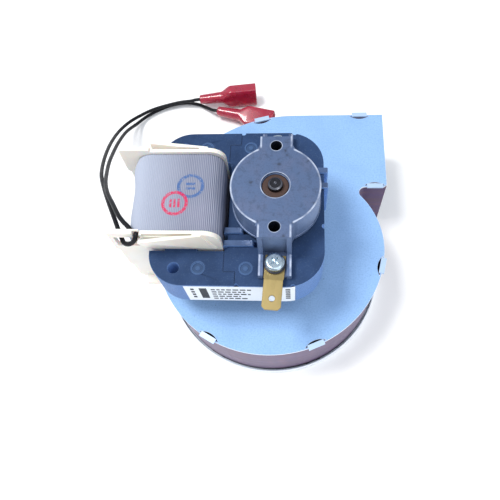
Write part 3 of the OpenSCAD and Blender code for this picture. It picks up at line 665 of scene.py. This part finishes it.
def smooth_route(points, steps):
    """Points on a smooth curve through the given ones."""
    p = [Vector(q) for q in points]
    last = len(p) - 1
    out = []
    for i in range(last):
        a, b, c, d = p[max(i - 1, 0)], p[i], p[i + 1], p[min(i + 2, last)]
        for k in range(steps):
            t = k / steps
            out.append(0.5 * (2 * b + (c - a) * t + (2 * a - 5 * b + 4 * c - d) * t * t
                              + (3 * b - a - 3 * c + d) * t * t * t))
    return out + [p[last]]


def route_length(points):
    return sum((b - a).length for a, b in zip(points, points[1:]))


def add_lead(name, points, material):
    path = smooth_route(points, 6)
    curve = bpy.data.curves.new(name, "CURVE")
    curve.dimensions = "3D"
    curve.bevel_depth = LEAD_D / 2 * MM
    curve.bevel_resolution = 5
    curve.use_fill_caps = True
    spline = curve.splines.new("POLY")
    spline.points.add(len(path) - 1)
    for point, place in zip(spline.points, path):
        point.co = (*(place * MM), 1.0)
    spline.use_smooth = True
    curve.materials.append(material)
    lead = bpy.data.objects.new(name + "_wire", curve)
    bpy.context.collection.objects.link(lead)
    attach(lead, STATOR)
    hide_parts(name)
    route_length(path) * MM


# Terminal sleeves in millimetres: tail at x 0, mouth at x SLEEVE_LEN. Sections run from ROUND to
# BOXY, and each terminal is placed by its origin, heading and roll in degrees.
SLEEVE_LEN = 29.0
BOX_LEN = 12.6
BOX_HALF_W = 5.0
BOX_HALF_H = 3.1
BARREL_R = 2.9
BARREL_END = 11.0
TAIL_R = 2.3
BORE_R = 1.9
SLEEVE_WALL = 0.8
EASE_STEPS = 10
RING_POINTS = 48
ROUND = 2
BOXY = 7
TERMINAL_A = ((-43, 90.5, 5.5), 6, 78)
TERMINAL_B = ((-33.5, 84, 4.5), -14, 15)


def sleeve_ring(x, half_w, half_h, power):
    """One closed section, a superellipse: a circle at power 2, nearly a box at power 7."""
    ring = []
    for i in range(RING_POINTS):
        a = 2 * math.pi * (i + 0.5) / RING_POINTS
        c, s = math.cos(a), math.sin(a)
        ring.append((x, half_w * math.copysign(abs(c) ** (2 / power), c),
                     half_h * math.copysign(abs(s) ** (2 / power), s)))
    return ring


def sleeve_outside():
    """Sections from the tail, along the cone and the shoulder, to the mouth."""
    box_x = SLEEVE_LEN - BOX_LEN
    sections = [(0.0, TAIL_R - 0.25, TAIL_R - 0.25, ROUND),
                (0.3, TAIL_R - 0.05, TAIL_R - 0.05, ROUND),
                (0.8, TAIL_R, TAIL_R, ROUND),
                (BARREL_END, BARREL_R, BARREL_R, ROUND)]
    for k in range(1, EASE_STEPS + 1):
        t = k / EASE_STEPS
        ease = t * t * (3 - 2 * t)
        sections.append((BARREL_END + (box_x - BARREL_END) * t,
                         BARREL_R + (BOX_HALF_W - BARREL_R) * ease,
                         BARREL_R + (BOX_HALF_H - BARREL_R) * ease,
                         ROUND + (BOXY - ROUND) * ease))
    for back, shrink in ((0.5, 0), (0.1, 0.08), (0, 0.3)):
        sections.append((SLEEVE_LEN - back, BOX_HALF_W - shrink, BOX_HALF_H - shrink, BOXY))
    return sections


def sleeve_inside():
    """Sections from the mouth, through the box and its narrow floor, to the wire's bore."""
    box_x = SLEEVE_LEN - BOX_LEN
    hollow_w, hollow_h = BOX_HALF_W - SLEEVE_WALL, BOX_HALF_H - SLEEVE_WALL
    return [(SLEEVE_LEN - 0.2, hollow_w, hollow_h, BOXY),
            (box_x + 1.0, hollow_w, hollow_h, BOXY),
            (box_x, BORE_R + 0.3, BORE_R + 0.2, 3),
            (BARREL_END + 1.0, BORE_R, BORE_R, ROUND),
            (0.5, BORE_R, BORE_R, ROUND),
            (0.1, BORE_R + 0.05, BORE_R + 0.05, ROUND)]


def add_sleeve(name, node, place, material):
    """A hollow sleeve that stands for a terminal's sleeve in the CAD model."""
    sections = sleeve_outside() + sleeve_inside()
    verts = [v for section in sections for v in sleeve_ring(*section)]
    faces = grid_faces(len(sections), RING_POINTS)
    last = (len(sections) - 1) * RING_POINTS
    for c in range(RING_POINTS):
        n = (c + 1) % RING_POINTS
        faces.append((last + c, last + n, n, c))
    origin, heading, roll = place
    turn = (Matrix.Translation(Vector(origin) * MM) @ Matrix.Rotation(math.radians(heading), 4, "Z")
            @ Matrix.Rotation(math.radians(roll), 4, "X"))
    piece = add_mesh(name, [tuple(turn @ (Vector(v) * MM)) for v in verts], faces, material)
    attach(piece, STATOR)
    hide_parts(node)
    return piece


# Taped coil in millimetres: a rounded-box section in X and Z, ribbed round its girth
TAPE_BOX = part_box("winding_tape")
TAPE_CORNER_R = 6.6
TAPE_ROWS = 61
POINTS_PER_RIB = 6
RIB_HEIGHT = 0.11
# The free side at -X swells, and swells more near one end. Places and widths along Y are shares
# of the half length.
SWELL = 0.5
SWELL_MORE = 0.9
SWELL_AT = 0.72
SWELL_WIDTH = 0.32
# Creases and finer folds are noise: height, size round the girth, number along a half length
CREASE = 0.35
CREASE_SIZE = 7
CREASES_ALONG = 2.2
DEEPEST_CREASE = -0.2
FOLD = 0.30
FOLD_SIZE = 2.5
FOLDS_ALONG = 1.1
DEEPEST_FOLD = -0.3
FOLD_SHARE = 0.35
# Both ends tuck in, and close with a lip under the flanges
TUCK = 0.22
TUCK_POWER = 6
SUNK = 0.05
LIP_DEPTH = 0.45


def rounded_box_point(s, half_w, half_h, radius):
    """Point and outward normal at arc length s on a rounded box centred on zero."""
    flat_w, flat_h = 2 * (half_w - radius), 2 * (half_h - radius)
    bend = math.pi / 2 * radius
    corners = [(half_w - radius, half_h - radius), (radius - half_w, half_h - radius),
               (radius - half_w, radius - half_h), (half_w - radius, radius - half_h)]
    for k, flat in enumerate((flat_h, flat_w, flat_h, flat_w)):
        out = k * math.pi / 2
        along = out + math.pi / 2
        normal = (math.cos(out), math.sin(out))
        corner = corners[k]
        if s <= flat:
            start = (corner[0] + radius * normal[0] - flat * math.cos(along),
                     corner[1] + radius * normal[1] - flat * math.sin(along))
            return (start[0] + s * math.cos(along), start[1] + s * math.sin(along)), normal
        s -= flat
        if s <= bend:
            a = out + s / radius
            normal = (math.cos(a), math.sin(a))
            return (corner[0] + radius * normal[0], corner[1] + radius * normal[1]), normal
        s -= bend
    return rounded_box_point(0, half_w, half_h, radius)


def tape_height(section, t, angle, seed):
    """How far the tape stands off its box: t runs from -1 to 1 along Y, angle turns per rib."""
    (px, pz), (nx, _) = section
    rib = RIB_HEIGHT * math.cos(angle)
    bulge = math.exp(-((t - SWELL_AT) / SWELL_WIDTH) ** 2)
    free_side = max(0.0, -nx) * (SWELL + SWELL_MORE * bulge)
    crease = CREASE * noise.noise(
        Vector((px / CREASE_SIZE, t * CREASES_ALONG, pz / CREASE_SIZE)) + seed)
    fold = FOLD * noise.noise(Vector((px / FOLD_SIZE, t * FOLDS_ALONG, pz / FOLD_SIZE)) + seed)
    slack = max(DEEPEST_CREASE, crease) + FOLD_SHARE * max(DEEPEST_FOLD, fold)
    edge = min(1.0, (1 - abs(t)) * 4)
    return free_side + rib + edge * slack - TUCK * abs(t) ** TUCK_POWER - SUNK


def add_coil_tape(material):
    """The tape follows its CAD box, swells where it is slack and is ribbed round its girth."""
    low, high = Vector(TAPE_BOX[0]) / MM, Vector(TAPE_BOX[1]) / MM
    middle = (low + high) / 2
    half_w, half_h, half_y = (high.x - low.x) / 2, (high.z - low.z) / 2, (high.y - low.y) / 2
    girth = 4 * (half_w + half_h) - (8 - 2 * math.pi) * TAPE_CORNER_R
    ribs = round(girth / RIB_PITCH)
    count = ribs * POINTS_PER_RIB
    rows = TAPE_ROWS
    seed = Vector((3.1, 0.4, 7.7))

    sections = [rounded_box_point(girth * c / count, half_w, half_h, TAPE_CORNER_R)
                for c in range(count)]

    def stand_off(section, t, out):
        """A point of the section at t along Y, moved out along its normal, in metres."""
        (px, pz), (nx, nz) = section
        return ((middle.x + px + nx * out) * MM, (middle.y + t * half_y) * MM,
                (middle.z + pz + nz * out) * MM)

    verts = []
    for r in range(rows):
        t = 2 * r / (rows - 1) - 1
        for c, section in enumerate(sections):
            angle = 2 * math.pi * c / POINTS_PER_RIB
            verts.append(stand_off(section, t, tape_height(section, t, angle, seed)))
    faces = grid_faces(rows, count)
    lip = len(verts)
    for t in (-1, 1):
        verts += [stand_off(section, t, -LIP_DEPTH) for section in sections]
    last = (rows - 1) * count
    for c in range(count):
        n = (c + 1) % count
        faces.append((lip + c, lip + n, n, c))
        faces.append((last + c, last + n, lip + count + n, lip + count + c))
        faces.append((lip + count + c, lip + count + n, lip + n, lip + c))
    piece = add_mesh("coil_tape_ribbed", verts, faces, material)
    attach(piece, STATOR)
    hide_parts("winding_tape")


# Label print in millimetres: text rows as height and end, each a share of its range
TEXT_ROWS = [(0.80, 0.62), (0.64, 0.52), (0.48, 0.60), (0.32, 0.44), (0.16, 0.55)]
TEXT_FROM = 9.0
TEXT_SPAN = 22.0
TEXT_HALF_H = 0.55
WORD_GAP = 0.5
INK_THICK = 0.06


def print_boxes(low, high):
    """Word bars, a column of five marks, a block and a column of four, as x0, x1, z0, z1."""
    start = low.x + TEXT_FROM
    boxes = []
    for level, end in TEXT_ROWS:
        z = low.z + level * (high.z - low.z)
        x = start
        stop = start + end * TEXT_SPAN
        word = 0
        while x < stop:
            width = 1.1 + 0.9 * (0.5 + 0.5 * math.sin(7.3 * word + 20 * level))
            boxes.append((x, min(x + width, stop), z - TEXT_HALF_H, z + TEXT_HALF_H))
            x += width + WORD_GAP
            word += 1
    for k in range(5):
        foot = low.z + 3 + 2.2 * k
        boxes.append((high.x - 3.2, high.x - 1.6, foot, foot + 1.2))
    boxes.append((low.x + 5.0, low.x + 7.6, low.z + 2.4, high.z - 1.6))
    for k in range(4):
        foot = low.z + 3 + 2.6 * k
        boxes.append((low.x + 2.0, low.x + 3.2, foot, foot + 1.6))
    return boxes


def add_label_print(material):
    """Generic bars and a block on the label, in place of print."""
    low, high = (Vector(c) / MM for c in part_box("rating_label"))
    face_y = low.y - 0.02
    verts, faces = [], []
    for x0, x1, z0, z1 in print_boxes(low, high):
        base = len(verts)
        for y in (face_y, face_y + INK_THICK):
            verts += [(x0 * MM, y * MM, z0 * MM), (x1 * MM, y * MM, z0 * MM),
                      (x1 * MM, y * MM, z1 * MM), (x0 * MM, y * MM, z1 * MM)]
        faces += [tuple(base + i for i in f) for f in
                  ((0, 1, 2, 3), (7, 6, 5, 4), (0, 4, 5, 1), (1, 5, 6, 2), (2, 6, 7, 3), (3, 7, 4, 0))]
    piece = add_mesh("label_print", verts, faces, material, smooth=False)
    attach(piece, STATOR)


# ---------------------------------------------------------------- the scene

add_camera()
red = sleeve_nylon()
black = lead_insulation()
sleeve_a = add_sleeve("sleeve_a", "terminal_sleeve_a", TERMINAL_A, red)
sleeve_b = add_sleeve("sleeve_b", "terminal_sleeve_b", TERMINAL_B, red)
add_lead("lead_a", LEAD_A, black)
add_lead("lead_b", LEAD_B, black)
bronze_look, felt_look = bronze(), felt()
spring_look = dark_steel("spring_steel", (0.05, 0.05, 0.06))
dress_cad()
add_coil_tape(coil_tape())
add_label_print(ink("label_ink", (0.02, 0.025, 0.035)))
add_stage()
